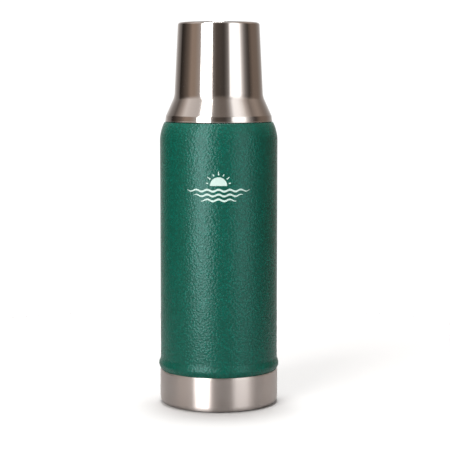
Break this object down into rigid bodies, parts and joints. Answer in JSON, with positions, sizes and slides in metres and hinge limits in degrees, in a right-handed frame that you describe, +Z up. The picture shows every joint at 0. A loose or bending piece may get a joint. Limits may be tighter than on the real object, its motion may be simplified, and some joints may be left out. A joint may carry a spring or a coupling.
{
  "type": "vacuum flask",
  "caption": "Tall stainless vacuum flask with a powder-coated body, bare steel base and screw-on flared drinking cup over a push-button pour stopper.",
  "frame": {"origin": "middle of the underside, on the flask's axis", "axes": "+Z up along the flask's axis, -Y towards the printed front"},
  "size_m": [0.093, 0.093, 0.293],
  "materials": {
    "green_powder_coat": "pebbled powder coat, semi-gloss",
    "polished_steel": "fine brushed, near mirror",
    "inner_steel": "satin",
    "spring_steel": "drawn wire",
    "copper_foil": "bright foil",
    "solder": "dull",
    "getter_metal": "sintered, matt",
    "dark_plastic": "fine moulded texture",
    "pale_plastic": "food-grade, satin",
    "silicone": "matt silicone",
    "foam": "foamed",
    "base_rubber": "matt, ribbed"
  },
  "bodies": {
    "root": {"outer_shell": "green_powder_coat", "inner_liner": "inner_steel", "outer_bottom": "inner_steel", "vacuum_seal": "solder", "radiation_foil": "copper_foil", "getter_clip": "inner_steel", "getter": "getter_metal", "base_cup": "polished_steel", "base_pad": "base_rubber", "neck_collar": "dark_plastic", "neck_seal_ring": "silicone"},
    "stopper_lifter": {"stopper_gasket": "silicone"},
    "stopper": {"stopper_body": "dark_plastic", "stopper_cover": "dark_plastic", "stopper_insulation": "foam", "flow_tube": "pale_plastic", "stem_guide": "pale_plastic", "stem_seal": "silicone", "button_spring": "spring_steel"},
    "button": {"push_button": "dark_plastic", "valve_stem": "pale_plastic", "valve_disc": "pale_plastic", "valve_seal": "silicone"},
    "cup_lifter": {"cup_gasket": "silicone"},
    "cup": {"cup_shell": "polished_steel", "cup_liner": "pale_plastic", "cup_thread_ring": "dark_plastic"}
  },
  "joints": [
    {"name": "stopper_lift", "type": "slide", "parent": "root", "child": "stopper_lifter", "axis": [0, 0, 1], "range_m": [0, 0.0601]},
    {"name": "stopper_turn", "type": "hinge", "parent": "stopper_lifter", "child": "stopper", "pos_m": [0, 0, 0.246], "axis": [0, 0, 1], "range_deg": [0, 1800]},
    {"name": "button_press", "type": "slide", "parent": "stopper", "child": "button", "axis": [0, 0, -1], "range_m": [0, 0.004], "stiffness_N_per_m": 500, "springref_m": -0.004, "deforming": ["button_spring"]},
    {"name": "cup_lift", "type": "slide", "parent": "stopper", "child": "cup_lifter", "axis": [0, 0, 1], "range_m": [0, 0.0841]},
    {"name": "cup_turn", "type": "hinge", "parent": "cup_lifter", "child": "cup", "pos_m": [0, 0, 0.2176], "axis": [0, 0, 1], "range_deg": [0, 2520]}
  ],
  "couplings": [
    {"joint": "stopper_lift", "follows": "stopper_turn", "m_per_rad": 0.0019099},
    {"joint": "cup_lift", "follows": "cup_turn", "m_per_rad": 0.0019099}
  ]
}
